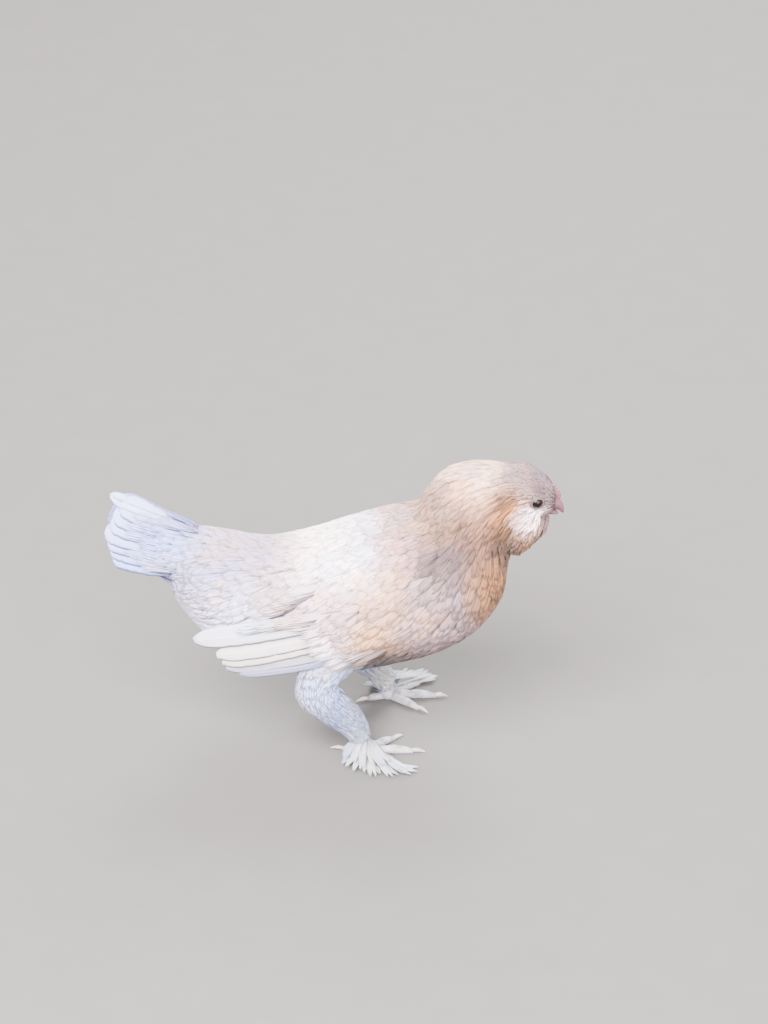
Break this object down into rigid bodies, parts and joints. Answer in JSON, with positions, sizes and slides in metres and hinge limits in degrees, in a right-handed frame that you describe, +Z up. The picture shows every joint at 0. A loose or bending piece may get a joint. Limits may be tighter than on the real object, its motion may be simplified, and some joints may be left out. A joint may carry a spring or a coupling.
{
  "type": "barbu d'uccle bantam pullet, life-size model",
  "caption": "Small bearded, feather-footed bantam hen standing in mid stride, with low wings, a short raised tail, full hackle, beard and muffs.",
  "frame": {"origin": "on the floor under the middle of the bird's box", "axes": "+X towards the beak, +Z up, +Y towards the bird's left side"},
  "size_m": [0.2682, 0.1218, 0.176],
  "materials": {
    "body_feathers": "soft matt contour feathers, warm cream fading to white at the rump",
    "hackle_feathers": "soft matt hackle feathers, cream with a buff cast",
    "head_feathers": "short soft feathers, pale greyish cream",
    "beard_feathers": "loose fluffy feathers, cream with an orange-buff rear edge",
    "tail_feathers": "smooth vanes, cool white",
    "wing_feathers": "smooth vanes, bright white at the flights, cream at the coverts",
    "leg_feathers": "fluffy bluish white feathers",
    "foot_scales": "small overlapping horny scales, slate grey",
    "beak_horn": "smooth pale horn",
    "claw_horn": "smooth pale horn",
    "comb_skin": "fine-grained pale pink skin",
    "eye": "wet, dark brown, clear gloss"
  },
  "bodies": {
    "root": {"beak_lower": "beak_horn", "beak_upper": "beak_horn", "beard": "beard_feathers", "claw_left_hind": "claw_horn", "claw_left_inner": "claw_horn", "claw_left_middle": "claw_horn", "claw_left_outer": "claw_horn", "claw_right_hind": "claw_horn", "claw_right_inner": "claw_horn", "claw_right_middle": "claw_horn", "claw_right_outer": "claw_horn", "comb": "comb_skin", "eye_left": "eye", "eye_right": "eye", "foot_left": "foot_scales", "foot_right": "foot_scales", "head": "head_feathers", "muff_left": "beard_feathers", "muff_right": "beard_feathers", "neck": "hackle_feathers", "shank_left": "leg_feathers", "shank_right": "leg_feathers", "tail": "tail_feathers", "thigh_left": "leg_feathers", "thigh_right": "leg_feathers", "torso": "body_feathers", "wing_left": "wing_feathers", "wing_right": "wing_feathers"}
  },
  "joints": []
}
